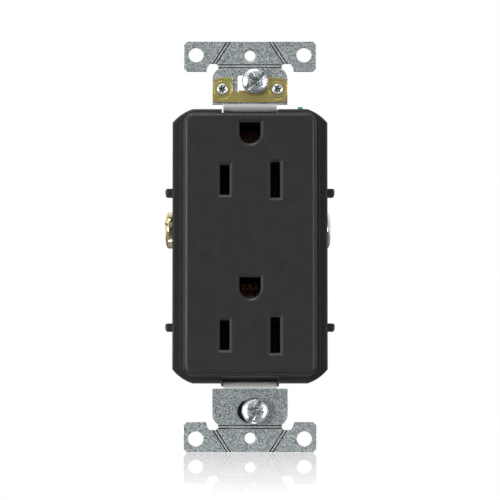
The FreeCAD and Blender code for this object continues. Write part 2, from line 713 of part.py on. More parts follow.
def strip_half():
    """One outlet's half of the left-hand strip, with z measured from the strip's middle."""
    t = BRASS_THICK
    depth, height = TERMINAL_PLATE
    plate_x = (-TERMINAL_FACE_X, -TERMINAL_FACE_X + t)
    foot_y = (STRIP_FOOT_Y, STRIP_FOOT_Y + t)
    low = TERMINAL_Z - height / 2
    far = OUTLET_PITCH / 2 + LEAF_HALF_HEIGHT
    plate = box(plate_x, (foot_y[1] - depth, foot_y[1]), (low, low + height))
    foot = box((-TERMINAL_FACE_X, -12.6), foot_y, (low, far))
    web = box((-12.7, -BLADE_X + 1.0 + LEAF_THICK), foot_y, (far - 2 * LEAF_HALF_HEIGHT, far))
    pieces = [plate, foot, web]
    for leaf in blade_contact():
        leaf.translate(Vector(-BLADE_X, 0, OUTLET_PITCH / 2))
        pieces.append(leaf)
    half = merged(pieces)
    hole_r = TERMINAL_SCREW_R + TAPPED_CLEARANCE
    hole = cross_rod(hole_r, -TERMINAL_FACE_X - 1, -TERMINAL_FACE_X + 2, TERMINAL_Y, TERMINAL_Z)
    return half.cut(hole)


def break_off_fin():
    """The bridge between a strip's halves, with a fin that is twisted off to split the outlets."""
    half_height = TERMINAL_Z - TERMINAL_PLATE[1] / 2
    plate_x = (-TERMINAL_FACE_X, -TERMINAL_FACE_X + BRASS_THICK)
    bridge = box(plate_x, (9.4, 12.6), (-half_height, half_height))
    fin = box((-TERMINAL_FACE_X - 2.6, -TERMINAL_FACE_X + 0.5), (10.5, 11.5), (-2.0, 2.0))
    fin = fin.cut(rod(0.8, 9, 13, -TERMINAL_FACE_X - 1.4, 0.0))
    bridge = bridge.fuse(fin)
    for side in (-1, 1):
        for y in ((9.0, 10.3), (11.7, 13.0)):
            low, high = sorted((side * (half_height - 0.7), side * (half_height - 0.2)))
            bridge = bridge.cut(box((-TERMINAL_FACE_X - 1, -TERMINAL_FACE_X + 2), y, (low, high)))
    return bridge


def contact_strip():
    """The left-hand strip: both outlets' contacts and terminals in one piece of brass."""
    half = strip_half()
    strip = merged([half, mirror_z(half), break_off_fin()])
    strip.translate(Vector(0, 0, WIRING_Z))
    return strip


def ground_contact(z):
    """A forked ground contact whose base is riveted through the body's floor to the strap."""
    floor = BODY_BACK - BODY_FLOOR
    half_width, half_height, thick = CONTACT_BASE
    base = box((-half_width, half_width), (floor - thick, floor), (-half_height, half_height))
    leaf = spring_leaf(2.5, 2.2, 2.95, 3.0, 6.0, floor - 0.4, 2.6)
    contact = merged([base, leaf, mirror_x(leaf)])
    contact = contact.cut(rod(CONTACT_RIVET_R, floor - 2, floor + 1, 0.0, -CONTACT_RIVET_DROP))
    contact.translate(Vector(0, 0, z))
    return contact


def contact_rivet(z):
    """The rivet that holds a ground contact and the strap to the body's floor."""
    base_front = BODY_BACK - BODY_FLOOR - CONTACT_BASE[2]
    strap_back = WRAP_Y + STRAP_THICK
    head_r, head_h = CONTACT_RIVET_HEAD
    shank = rod(CONTACT_RIVET_R, base_front, strap_back, 0.0, z)
    inner = rod(1.9, base_front - 0.6, base_front, 0.0, z)
    outer = Part.makeCone(head_r, head_r - 0.7, head_h, Vector(0, strap_back, z), Y_AXIS)
    return merged([shank, inner, outer])


# --------------------------------------------------------- screws and clamps

def headed_screw(head, shank_r, length, slot_width, neck=None):
    """A combination-drive pan head screw: head above z = 0, shank and any plain neck below."""
    head_r, head_h = head
    edge = head_h * 0.55
    crown = Part.Arc(Vector(head_r, 0, edge), Vector(head_r * 0.72, 0, head_h * 0.9), Vector(0, 0, head_h))
    corners = [Vector(0, 0, head_h), Vector(0, 0, -length), Vector(shank_r - 0.4, 0, -length),
               Vector(shank_r, 0, -length + 0.5)]
    if neck:
        neck_r, neck_length = neck
        shoulder = Vector(shank_r, 0, -neck_length - 0.3)
        corners += [shoulder, Vector(neck_r, 0, -neck_length), Vector(neck_r, 0, 0)]
    else:
        corners.append(Vector(shank_r, 0, 0))
    corners += [Vector(head_r, 0, 0), Vector(head_r, 0, edge)]
    sides = [Part.LineSegment(a, b).toShape() for a, b in zip(corners, corners[1:])]
    profile = Part.Face(Part.Wire(sides + [crown.toShape()]))
    screw = profile.revolve(Vector(0, 0, 0), Z_AXIS, 360)
    reach = head_r + 1
    slot = Part.makeBox(2 * reach, slot_width, head_h, Vector(-reach, -slot_width / 2, head_h * 0.5))
    return screw.cut([slot] + drive_recess(head_r, head_h))


def drive_recess(head_r, head_h):
    """A tapered cross recess in the middle of a screw head."""
    wings = []
    for turn in (0, 90):
        rectangles = []
        for z, half_length, half_width in ((head_h + 0.1, 0.52 * head_r, 0.17 * head_r),
                                           (head_h * 0.2, 0.2 * head_r, 0.09 * head_r)):
            a, b = half_length, half_width
            corners = [Vector(-a, -b, z), Vector(a, -b, z), Vector(a, b, z), Vector(-a, b, z)]
            rectangles.append(Part.makePolygon(corners + corners[:1]))
        wing = Part.makeLoft(rectangles, True, True)
        wing.rotate(Vector(0, 0, 0), Z_AXIS, turn)
        wings.append(wing)
    return wings


def placed(shape, position, direction, spin=0.0):
    """Turn a shape by spin about its own +Z, then point its +Z along direction at position."""
    moved = shape.copy()
    moved.rotate(Vector(0, 0, 0), Z_AXIS, spin)
    rotation = FreeCAD.Rotation(Z_AXIS, direction)
    moved.Placement = FreeCAD.Placement(position, rotation).multiply(moved.Placement)
    return moved


def clamp_plate(size, thick):
    """A pressure plate about x = 0, its inner face at x = 0, with a groove for each wire."""
    half = size / 2
    plate = Part.makeBox(thick, size, size, Vector(0, -half, -half))
    corners = [e for e in plate.Edges if abs(e.Vertexes[0].Point.x - e.Vertexes[-1].Point.x) > thick / 2]
    plate = plate.makeFillet(0.8, corners)
    plate = plate.cut(cross_rod(TERMINAL_SCREW_R + CLAMP_CLEARANCE, -1, thick + 1, 0.0, 0.0))
    wire_z = half - 1.2
    for z in (-wire_z, wire_z):
        plate = plate.cut(Part.makeCylinder(1.2, size + 2, Vector(-0.75, -half - 1, z), Y_AXIS))
    return plate


def terminal(side, terminal_z, gap, spin):
    """The clamp plate and screw of one side terminal, side = +1 for the right."""
    inner = TERMINAL_FACE_X + gap
    plate = clamp_plate(CLAMP_SIZE, CLAMP_THICK)
    plate.translate(Vector(inner, 0, 0))
    seat = inner + CLAMP_THICK + SCREW_SEAT_GAP
    screw = headed_screw(TERMINAL_HEAD, TERMINAL_SCREW_R, TERMINAL_SHANK, 1.3)
    screw = placed(screw, Vector(seat, 0, 0), X_AXIS, spin)
    pieces = []
    for piece in (plate, screw):
        if side < 0:
            piece = piece.copy()
            piece.rotate(Vector(0, 0, 0), Z_AXIS, 180)
        piece.translate(Vector(0, TERMINAL_Y, terminal_z))
        pieces.append(piece)
    return pieces


def ground_terminal():
    """The clamp plate and green screw on the strap's tab."""
    axis_y, axis_z = GROUND_AXIS
    inner = GROUND_TAB_X + STRAP_THICK + GROUND_GAP
    plate = clamp_plate(GROUND_CLAMP_SIZE, GROUND_CLAMP_THICK)
    plate.translate(Vector(inner, axis_y, axis_z))
    screw = headed_screw(GROUND_HEAD, TERMINAL_SCREW_R, GROUND_SHANK, 1.2)
    seat = inner + GROUND_CLAMP_THICK + SCREW_SEAT_GAP
    return plate, placed(screw, Vector(seat, axis_y, axis_z), X_AXIS, 35)


def box_screw(z, spin):
    """A 6-32 screw standing in the strap's slot, its head towards the front."""
    screw = headed_screw(BOX_SCREW_HEAD, BOX_SCREW_R, BOX_SCREW_LENGTH, 1.0, BOX_SCREW_NECK)
    seat = CLIP_FRONT - SCREW_SEAT_GAP
    return placed(screw, Vector(BOX_SCREW_X, seat, z), Vector(0, -1, 0), spin)


def upper_washer():
    radius, thick = UPPER_WASHER
    washer = rod(radius, WASHER_GAP, WASHER_GAP + thick, BOX_SCREW_X, BOX_SCREW_Z)
    return washer.cut(rod(WASHER_HOLE_R, -1, 3, BOX_SCREW_X, BOX_SCREW_Z))


def lower_washer():
    width, height, thick = LOWER_WASHER
    washer = rounded_slab(width, height, 1.0, WASHER_GAP, WASHER_GAP + thick, BOX_SCREW_X, -BOX_SCREW_Z)
    return washer.cut(rod(WASHER_HOLE_R, -1, 3, BOX_SCREW_X, -BOX_SCREW_Z))


def assembly_screws():
    """Four long screws from the back that draw the cover down onto the body."""
    screw = headed_screw(ASSEMBLY_HEAD, ASSEMBLY_SCREW_R, ASSEMBLY_SHANK, 0.62)
    return [placed(screw, Vector(x, ASSEMBLY_HEAD_SEAT, z), Y_AXIS, 25 * i)
            for i, (x, z) in enumerate(ASSEMBLY_SCREWS)]


# -------------------------------------------------------------------- output

def save(name, shape):
    if isinstance(shape, (list, tuple)):
        shape = Part.makeCompound(list(shape))
    shape.exportStep(os.path.join("parts", name + ".step"))
    volume = sum(s.Volume for s in shape.Solids)
    print(f"{name}: {len(shape.Solids)} solid(s), {volume:.1f} mm3, valid {shape.isValid()}")


def main():
    os.makedirs("parts", exist_ok=True)
    save("face_cover", face_cover())
    save("back_body", back_body())
    save("mounting_strap", mounting_strap())
    save("ground_clip", ground_clip())
    save("ground_clip_rivets", [clip_rivet(x) for x in (-CLIP_RIVET[0], CLIP_RIVET[0])])
    hot_strip = contact_strip()
    save("hot_contact_strip", hot_strip)
    save("neutral_contact_strip", mirror_x(hot_strip))
    for name, z in zip(("upper", "lower"), GROUND_ZS):
        save(name + "_ground_contact", ground_contact(z))
    save("ground_contact_rivets", [contact_rivet(z) for z in CONTACT_RIVET_ZS])
    for spin, (name, gap) in enumerate(TERMINAL_GAPS.items()):
        side = -1 if name.endswith("hot") else 1
        level = 1 if name.startswith("upper") else -1
        plate, screw = terminal(side, WIRING_Z + level * TERMINAL_Z, gap, 20 + 37 * spin)
        save(name + "_clamp", plate)
        save(name + "_screw", screw)
    plate, screw = ground_terminal()
    save("ground_clamp", plate)
    save("ground_screw", screw)
    save("upper_box_screw", box_screw(BOX_SCREW_Z, 48))
    save("lower_box_screw", box_screw(-BOX_SCREW_Z, 62))
    save("upper_screw_washer", upper_washer())
    save("lower_screw_washer", lower_washer())
    save("assembly_screws", assembly_screws())


main()
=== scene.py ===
import json
import math

import bpy
from mathutils import Matrix, Vector


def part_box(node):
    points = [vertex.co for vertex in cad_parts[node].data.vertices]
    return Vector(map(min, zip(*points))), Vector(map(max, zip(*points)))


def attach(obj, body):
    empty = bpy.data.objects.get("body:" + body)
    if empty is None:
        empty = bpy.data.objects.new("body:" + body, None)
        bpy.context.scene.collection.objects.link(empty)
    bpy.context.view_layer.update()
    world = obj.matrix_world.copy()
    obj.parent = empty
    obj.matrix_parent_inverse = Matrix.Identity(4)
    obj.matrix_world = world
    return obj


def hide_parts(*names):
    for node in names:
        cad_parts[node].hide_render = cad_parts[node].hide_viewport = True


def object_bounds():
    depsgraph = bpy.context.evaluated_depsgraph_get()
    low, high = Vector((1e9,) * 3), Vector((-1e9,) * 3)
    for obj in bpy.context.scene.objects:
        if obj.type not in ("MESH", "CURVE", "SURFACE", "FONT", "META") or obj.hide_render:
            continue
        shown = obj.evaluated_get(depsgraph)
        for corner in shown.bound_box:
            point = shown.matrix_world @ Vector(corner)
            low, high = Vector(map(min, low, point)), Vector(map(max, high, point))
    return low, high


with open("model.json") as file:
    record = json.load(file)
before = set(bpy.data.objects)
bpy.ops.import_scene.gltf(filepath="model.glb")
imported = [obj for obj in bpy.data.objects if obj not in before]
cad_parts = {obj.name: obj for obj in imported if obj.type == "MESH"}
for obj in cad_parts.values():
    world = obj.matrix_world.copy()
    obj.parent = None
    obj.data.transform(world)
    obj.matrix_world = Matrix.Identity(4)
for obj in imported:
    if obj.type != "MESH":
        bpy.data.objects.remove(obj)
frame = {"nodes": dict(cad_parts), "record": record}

cad_low, cad_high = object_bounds()

MM = 0.001
NODES = frame["nodes"]

# ---- Camera: about a metre away, a little below the outlet and looking up at it ----
CAMERA_DISTANCE = 1.1
CAMERA_DROP = math.radians(5.0)
CAMERA_TARGET = Vector((0.0, -1.2 * MM, -1.0 * MM))
FRAME_WIDTH = 126.1 * MM
SENSOR_WIDTH = 36.0

# ---- Floor: a glossy white sheet under the lower ears that falls away towards the camera ----
FLOOR_GAP = 0.1 * MM
FLOOR_SLOPE = math.radians(6.5)
FLOOR_REACH = 3.0
FLOOR_BACK = 1.5               # how far it runs on behind the outlet
MIRROR_SHARE = 0.5             # how much the floor mirrors right under the outlet
MIRROR_REACH = 125 * MM        # distance over which the mirroring fades away

# ---- Light that comes from all round, as a share of white ----
AROUND_FRONT = 0.045
AROUND_LEFT = 0.95
AROUND_RIGHT = 0.6
AROUND_TOP = 0.6
FLOOR_GLOW = 0.1               # what the floor gives off, which the camera still sees as white
SIDE_SPAN = 0.8                # a direction's x at which the light of its side is reached
TOP_SPAN = (0.1, 0.9)          # its z over which the light from above sets in
BEHIND_SPAN = (0.0, 0.4)       # its y over which the white behind sets in
AHEAD_FLATTEN = 0.6            # share of z that counts, so that the dark spot in front is upright
AHEAD_SPAN = (0.12, 0.5)       # sine of the angle off straight ahead over which that spot fades

# ---- Soft boxes, which face the outlet: place, power in watts, width, height ----
SOFT_BOXES = {
    "left": ((-0.8, -0.85, 0.04), 8.8, 0.3, 0.4),
    "right": ((0.75, -0.9, -0.02), 5.6, 0.2, 0.4),
    "overhead": ((-0.2, -0.5, 1.0), 6.0, 0.5, 0.3),
}

# ---- Where painted highlights on edges and painted shade in recesses show ----
EDGE_SPAN = (0.75, 0.98)       # cosine between a rounded and a true normal: sharp edge, flat face
RECESS_SPAN = (0.45, 0.85)     # openness: deep in a recess, out in the open
RECESS_REACH = 0.8 * MM

# ---- Strap: where a highlight is painted on its bends and shade in its score lines, and the sizes of its marks ----
NECK_TOP = 36.1 * MM                   # |z| where the strap's bends end
NECK_EDGE = 0.2 * MM                   # |z| over which their brightness sets in below that
NECK_FADE = (0.5 * MM, 2.5 * MM)       # y over which it fades away
SCORE_DEPTH = (-1.1 * MM, -0.6 * MM)   # y between which the floors of its score lines lie
SCORE_FADE = (0.15 * MM, 0.05 * MM)    # how gradually the painted shade starts and stops at those
FRONT_SPAN = (-0.97, -0.9)             # a normal's y: faces the front, leans aside
ZINC_FLAKE = 0.21 * MM
ZINC_GRAIN = 0.24 * MM
ZINC_SPECK = 0.28 * MM
ZINC_CLOUD = 5 * MM
# size of the patches over which the painted shade in the score lines varies
GROOVE_SHADE_PATCH = 7 * MM

# ---- Screws, which replace the plain CAD ones ----
THREAD_PITCH = 25.4 / 32 * MM
THREAD_DEPTH = 0.55 * THREAD_PITCH
THREAD_STEEPNESS = 1.15        # over 1, so that the roots are a little flat
THREAD_CREST = 0.08            # share of the depth that is levelled off at the crests
THREAD_SEGMENTS = 40
ROWS_PER_TURN = 8
TIP_LENGTH = 0.9 * MM
TIP_TAPER = 0.75 * MM
HEAD_SEGMENTS = 64
HEAD_RIM = 0.5                 # share of a head's height where its upright rim ends
RIM_ROUND = 0.12 * MM
CROWN_STEPS = 10
CROWN_BULGE = 0.62             # under 1, so that the crown is fuller than an ellipse
SLOT_FLOOR = (1.2, 0.46, 0.5)  # half length / head's radius, half width / slot's width, height / head's
SLOT_MOUTH = (1.2, 0.56, 1.2)
CROSS_FLOOR = (0.18, 0.08, 0.1)   # half length and half width / head's radius, height / head's
CROSS_MOUTH = (0.72, 0.25, 1.1)
BOX_SHANK_R = 1.75 * MM
TERMINAL_SHANK_R = 2.05 * MM
BOX_HEAD = (2.0 * MM, 1.0 * MM)        # height, slot width
SIDE_HEAD = (2.1 * MM, 1.3 * MM)
GROUND_HEAD = (1.85 * MM, 1.2 * MM)
SHARP_SCREW_EDGE = math.radians(38)    # an edge that turns more than this isn't shaded smooth

# ---- Each screw: head, direction that it faces, turn of its slot in degrees ----
SCREWS = {
    "upper_box_screw": (BOX_HEAD, (0, -1, 0), 40),
    "lower_box_screw": (BOX_HEAD, (0, -1, 0), 62),
    "upper_hot_screw": (SIDE_HEAD, (-1, 0, 0), 20),
    "lower_hot_screw": (SIDE_HEAD, (-1, 0, 0), 57),
    "upper_neutral_screw": (SIDE_HEAD, (1, 0, 0), 94),
    "lower_neutral_screw": (SIDE_HEAD, (1, 0, 0), 131),
    "ground_screw": (GROUND_HEAD, (1, 0, 0), 35),
}

# ---- The clip's rivets, star-punched ----
RIVET_HEAD = 0.45 * MM                 # height of the head's rim over its seat
RIVET_TAIL = 0.35 * MM
TAIL_ROUND = (0.8, 0.4)                # end face / tail's radius, rounding / tail's height
RIVET_SHANK_R = 0.9 * MM
PUNCHES = 3                            # crossed wedges that make a star
PUNCH_FLOOR = (0.4, 0.03)              # half length and half width / head's radius
PUNCH_MOUTH = (0.8, 0.24)
PUNCH_DEPTH = 0.6 * MM
PUNCH_OVER = 0.1 * MM                  # how far they stick out past the head
PUNCH_LEAN = 15                        # degrees, one way on the left rivet and the other on the right
SHARP_RIVET_EDGE = math.radians(32)
RIM_OUTLINE = (                        # share of the head's radius, height over the seat in mm
    (1.0, 0.0), (1.0, 0.18), (0.95, 0.32), (0.86, 0.42),
    (0.78, 0.45), (0.7, 0.43), (0.58, 0.34), (0.0, 0.32),
)


# ------------------------------------------------------------- camera, floor, lights

def make_camera():
    data = bpy.data.cameras.new("camera")
    data.sensor_width = SENSOR_WIDTH
    data.lens = SENSOR_WIDTH * CAMERA_DISTANCE / FRAME_WIDTH
    data.clip_end = 10.0
    camera = bpy.data.objects.new("camera", data)
    back = Vector((0.0, -math.cos(CAMERA_DROP), -math.sin(CAMERA_DROP)))
    camera.location = CAMERA_TARGET + back * CAMERA_DISTANCE
    camera.rotation_euler = (-back).to_track_quat("-Z", "Y").to_euler()
    bpy.context.scene.collection.objects.link(camera)
    bpy.context.scene.camera = camera


def make_floor():
    """Level behind the outlet, falling away in front of it so that the low camera looks down on it."""
    level = cad_low.z - FLOOR_GAP
    drop = math.tan(FLOOR_SLOPE) * FLOOR_REACH
    corners = [
        (-FLOOR_REACH, -FLOOR_REACH, level - drop), (FLOOR_REACH, -FLOOR_REACH, level - drop),
        (FLOOR_REACH, 0.0, level), (-FLOOR_REACH, 0.0, level),
        (FLOOR_REACH, FLOOR_BACK, level), (-FLOOR_REACH, FLOOR_BACK, level),
    ]
    mesh = bpy.data.meshes.new("floor")
    mesh.from_pydata(corners, [], [(0, 1, 2, 3), (3, 2, 4, 5)])
    floor = bpy.data.objects.new("floor", mesh)
    bpy.context.scene.collection.objects.link(floor)
    floor.data.materials.append(floor_material())


def area_light(name, spot, power, width, height):
    data = bpy.data.lights.new(name, "AREA")
    data.shape = "RECTANGLE"
    data.size = width
    data.size_y = height
    data.energy = power
    light = bpy.data.objects.new(name, data)
    light.location = spot
    light.rotation_euler = (-Vector(spot)).to_track_quat("-Z", "Y").to_euler()
    bpy.context.scene.collection.objects.link(light)


def make_lights():
    """Soft boxes at the left and right of the camera, and one overhead."""
    for name, (spot, power, width, height) in SOFT_BOXES.items():
        area_light(name, spot, power, width, height)


def make_world():
    """White behind, dark straight in front, grey to the sides and above, and lighter at the left."""
    world = bpy.data.worlds.new("studio")
    world.use_nodes = True
    tree = world.node_tree
    tree.nodes.clear()
    direction = add(tree, "ShaderNodeTexCoord").outputs["Generated"]
    x, y, z = add(tree, "ShaderNodeSeparateXYZ", {0: direction}).outputs
    sides = spread(tree, x, -SIDE_SPAN, SIDE_SPAN, AROUND_LEFT, AROUND_RIGHT)
    above = spread(tree, z, *TOP_SPAN, 1.0, AROUND_TOP)
    flat = add(tree, "ShaderNodeCombineXYZ", {0: x, 2: product(tree, z, AHEAD_FLATTEN)}).outputs[0]
    aside = add(tree, "ShaderNodeVectorMath", {0: flat}, operation="LENGTH").outputs["Value"]
    ahead = spread(tree, aside, *AHEAD_SPAN, AROUND_FRONT, 1.0)
    shade = product(tree, product(tree, sides, above), ahead)
    behind = spread(tree, y, *BEHIND_SPAN, 0.0, 1.0)
    path = add(tree, "ShaderNodeLightPath")
    seen = path.outputs["Is Camera Ray"]
    white = add(tree, "ShaderNodeMath", {0: behind, 1: seen}, operation="MAXIMUM")
    strength = add(tree, "ShaderNodeMix", {0: white.outputs[0], 2: shade, 3: 1.0}, data_type="FLOAT")
    glow = add(tree, "ShaderNodeBackground", {"Color": (1, 1, 1, 1), "Strength": strength.outputs[0]})
    add(tree, "ShaderNodeOutputWorld", {"Surface": glow.outputs[0]})
    bpy.context.scene.world = world
    bpy.context.scene.view_settings.view_transform = "Standard"


# ------------------------------------------------------------------ material helpers

def add(tree, kind, inputs=None, **settings):
    """A new node. An input is set to a value or linked to a socket."""
    node = tree.nodes.new(kind)
    for key, value in settings.items():
        setattr(node, key, value)
    for key, value in (inputs or {}).items():
        if isinstance(value, bpy.types.NodeSocket):
            tree.links.new(value, node.inputs[key])
        else:
            node.inputs[key].default_value = value
    return node


def new_tree(name):
    material = bpy.data.materials.new(name)
    material.use_nodes = True
    material.node_tree.nodes.clear()
    return material, material.node_tree


def place(tree, stretch=(1, 1, 1)):
    """Position on the piece in metres, scaled along each axis."""
    coordinates = add(tree, "ShaderNodeTexCoord")
    scaled = add(tree, "ShaderNodeMapping", {"Vector": coordinates.outputs["Object"], "Scale": stretch})
    return scaled.outputs[0]


def noise(tree, where, size, detail=3.0, rough=0.55, distortion=0.0):
    """Noise whose blotches are about this size in metres."""
    inputs = {
        "Vector": where,
        "Scale": 1.0 / size,
        "Detail": detail,
        "Roughness": rough,
        "Distortion": distortion,
    }
    return add(tree, "ShaderNodeTexNoise", inputs).outputs["Fac"]


def spread(tree, value, low, high, to_low, to_high):
    """Map low to high onto to_low to to_high, clamped."""
    inputs = {"Value": value, "From Min": low, "From Max": high, "To Min": to_low, "To Max": to_high}
    return add(tree, "ShaderNodeMapRange", inputs).outputs[0]


def product(tree, first, second):
    return add(tree, "ShaderNodeMath", {0: first, 1: second}, operation="MULTIPLY").outputs[0]


def blend_colour(tree, factor, first, second):
    node = add(tree, "ShaderNodeMix", {0: factor, 6: first, 7: second}, data_type="RGBA")
    return node.outputs[2]


def rounded_normal(tree, radius):
    """Normals that run softly round sharp edges."""
    return add(tree, "ShaderNodeBevel", {"Radius": radius}, samples=6).outputs[0]


def edge_mask(tree, radius):
    """1 on sharp edges, 0 on flat faces."""
    soft = rounded_normal(tree, radius)
    hard = add(tree, "ShaderNodeNewGeometry").outputs["Normal"]
    agree = add(tree, "ShaderNodeVectorMath", {0: soft, 1: hard}, operation="DOT_PRODUCT")
    return spread(tree, agree.outputs["Value"], *EDGE_SPAN, 1.0, 0.0)


def bump(tree, height, depth, strength, normal):
    inputs = {"Height": height, "Distance": depth, "Strength": strength, "Normal": normal}
    return add(tree, "ShaderNodeBump", inputs).outputs[0]


def shader(tree, **inputs):
    """The principled shader and the output. An underscore in a name stands for a space."""
    named = {key.replace("_", " "): value for key, value in inputs.items()}
    surface = add(tree, "ShaderNodeBsdfPrincipled", named)
    add(tree, "ShaderNodeOutputMaterial", {"Surface": surface.outputs[0]})


def rgb(r, g, b):
    """A colour from 0 to 255 sRGB values."""
    def linear(value):
        value /= 255
        return value / 12.92 if value <= 0.04045 else ((value + 0.055) / 1.055) ** 2.4
    return (linear(r), linear(g), linear(b), 1.0)


# ------------------------------------------------------------------------ materials

def floor_material():
    """White sheet that mirrors the foot of the outlet, less and less away from it."""
    material, tree = new_tree("pale_floor")
    where = place(tree)
    y = add(tree, "ShaderNodeSeparateXYZ", {0: where}).outputs[1]
    away = add(tree, "ShaderNodeMath", {0: y}, operation="ABSOLUTE").outputs[0]
    share = spread(tree, away, 0.0, MIRROR_REACH, MIRROR_SHARE, 0.0)
    path = add(tree, "ShaderNodeLightPath")
    glow = spread(tree, path.outputs["Is Camera Ray"], 0.0, 1.0, FLOOR_GLOW, 1.0)
    white = add(tree, "ShaderNodeEmission", {"Color": (1, 1, 1, 1), "Strength": glow})
    mirror = add(tree, "ShaderNodeBsdfGlossy", {"Color": (1, 1, 1, 1), "Roughness": 0.0})
    mixed = add(tree, "ShaderNodeMixShader", {0: share, 1: white.outputs[0], 2: mirror.outputs[0]})
    add(tree, "ShaderNodeOutputMaterial", {"Surface": mixed.outputs[0]})
    return material


def plastic(name, colour, other, gloss, grain, depth, edge):
    """Moulded thermoplastic: faint blotches in tone and gloss, and a fine eroded mould texture.

    Gloss is the range of roughness. Grain, depth and edge are in millimetres.
    """
    material, tree = new_tree(name)
    where = place(tree)
    tone = blend_colour(tree, noise(tree, where, 9 * MM), colour, other)
    cloud = noise(tree, where, 3 * MM, 4.0)
    speck = noise(tree, where, grain * MM, 2.0)
    roughness = spread(tree, product(tree, cloud, speck), 0.12, 0.4, *gloss)
    normal = bump(tree, speck, depth * MM, 0.5, rounded_normal(tree, edge * MM))
    shader(tree, Base_Color=tone, Roughness=roughness, Normal=normal, Specular_IOR_Level=0.4)
    return material


def galvanised_steel():
    """Zinc-coated sheet: mottled flakes, pits and sparkles, a painted highlight on its edges and bends,
    painted shade in its score lines.
    """
    material, tree = new_tree("galvanised_steel")
    where = place(tree)
    flakes = add(tree, "ShaderNodeTexVoronoi", {"Vector": where, "Scale": 1 / ZINC_FLAKE}, feature="F1")
    flake_tone = add(tree, "ShaderNodeSeparateColor", {"Color": flakes.outputs["Color"]}).outputs[0]
    grain = noise(tree, where, ZINC_GRAIN, 4.0, 0.85)
    mixed = product(tree, flake_tone, grain)
    clouds = spread(tree, noise(tree, where, ZINC_CLOUD, 3.0), 0.35, 0.65, 0, 0.35)
    pits = spread(tree, noise(tree, where, ZINC_SPECK, 1.0), 0.3, 0.36, 0.85, 0)
    sparkles = spread(tree, noise(tree, place(tree, (1.3, 1, 0.9)), ZINC_SPECK, 1.0), 0.66, 0.72, 0, 0.9)
    # painted highlight: the strap's sharp edges lightened near white
    edge_highlight = product(tree, edge_mask(tree, 0.2 * MM), 0.9)
    # painted highlight: the bends at the front lightened near white
    bend_highlight = product(tree, bend_highlight_mask(tree, where), 0.68)
    # patches that make the painted shade in the score lines stronger or weaker
    groove_shade_patches = spread(tree, noise(tree, where, GROOVE_SHADE_PATCH), 0.35, 0.65, 0.6, 1)
    layers = (
        (clouds, rgb(134, 142, 146)),
        (pits, rgb(44, 50, 52)),
        (sparkles, rgb(240, 244, 244)),
        (edge_highlight, rgb(245, 248, 248)),
        (bend_highlight, rgb(255, 255, 251)),
        # painted shade on the floors of the score lines
        (product(tree, groove_shade_mask(tree, where), groove_shade_patches), rgb(30, 33, 35)),
    )
    tone = blend_colour(tree, spread(tree, mixed, 0.05, 0.5, 0, 1), rgb(76, 84, 86), rgb(204, 212, 213))
    for share, colour in layers:
        tone = blend_colour(tree, share, tone, colour)
    gloss = spread(tree, mixed, 0.05, 0.5, 0.5, 0.36)
    normal = bump(tree, grain, 0.02 * MM, 0.4, rounded_normal(tree, 0.16 * MM))
    shader(tree, Base_Color=tone, Metallic=0.6, Roughness=gloss, Normal=normal)
    return material


def bend_highlight_mask(tree, where):
    """1 on the strap's bends at the front, where a highlight is painted into the coating's colour."""
    parts = add(tree, "ShaderNodeSeparateXYZ", {0: where}).outputs
    height = add(tree, "ShaderNodeMath", {0: parts["Z"]}, operation="ABSOLUTE").outputs[0]
    below = spread(tree, height, NECK_TOP, NECK_TOP - NECK_EDGE, 0.0, 1.0)
    return product(tree, below, spread(tree, parts["Y"], *NECK_FADE, 1.0, 0.0))


def groove_shade_mask(tree, where):
    """1 on the floors of the strap's score lines, where shade is painted in."""
    y = add(tree, "ShaderNodeSeparateXYZ", {0: where}).outputs[1]
    start, stop = SCORE_DEPTH
    deep = spread(tree, y, start, start + SCORE_FADE[0], 0.0, 1.0)
    shallow = spread(tree, y, stop, stop + SCORE_FADE[1], 1.0, 0.0)
    normal = add(tree, "ShaderNodeNewGeometry").outputs["Normal"]
    facing = add(tree, "ShaderNodeSeparateXYZ", {0: normal}).outputs[1]
    front = spread(tree, facing, *FRONT_SPAN, 1.0, 0.0)
    return product(tree, product(tree, deep, shallow), front)


def recess_shade_mask(tree):
    """1 deep in slots, punch marks and inside corners, 0 in the open: where shade is painted into the colour.
    """
    openness = add(tree, "ShaderNodeAmbientOcclusion", {"Distance": RECESS_REACH}, samples=8)
    return spread(tree, openness.outputs["AO"], *RECESS_SPAN, 1.0, 0.0)


def metal(name, colour, other, patch, gloss, stretch=(1, 1, 1), depth=0.006, edge=0.12, rim=0.3, bare=1.0,
          recess_shade=0.5):
    """Plated or rolled metal: patches of a second tone, fine drawn marks, a painted highlight on edges,
    painted shade in recesses.

    Patch, depth and edge are in millimetres. Gloss is the range of roughness. Rim and bare are shares: how
    bright the painted edge highlight is and how metallic the surface is. The last share is how dark the
    painted shade in recesses is.
    """
    material, tree = new_tree(name)
    patches = noise(tree, place(tree), patch * MM, 4.0, 0.6)
    tone = blend_colour(tree, spread(tree, patches, 0.38, 0.68, 0, 1), colour, other)
    # painted highlight: a lighter tone laid along sharp edges
    light = tuple(min(1.0, 1.3 * channel + 0.25) for channel in colour[:3]) + (1.0,)
    tone = blend_colour(tree, product(tree, edge_mask(tree, edge * MM), rim), tone, light)
    # painted shade: a darker tone laid in recesses
    dark = tuple(0.12 * channel for channel in colour[:3]) + (1.0,)
    tone = blend_colour(tree, product(tree, recess_shade_mask(tree), recess_shade), tone, dark)
    marks = noise(tree, place(tree, stretch), 0.12 * MM, 3.0, 0.6)
    normal = bump(tree, marks, depth * MM, 0.5, rounded_normal(tree, edge * MM))
    roughness = spread(tree, marks, 0.3, 0.7, *gloss)
    shader(tree, Base_Color=tone, Metallic=bare, Roughness=roughness, Normal=normal)
    return material


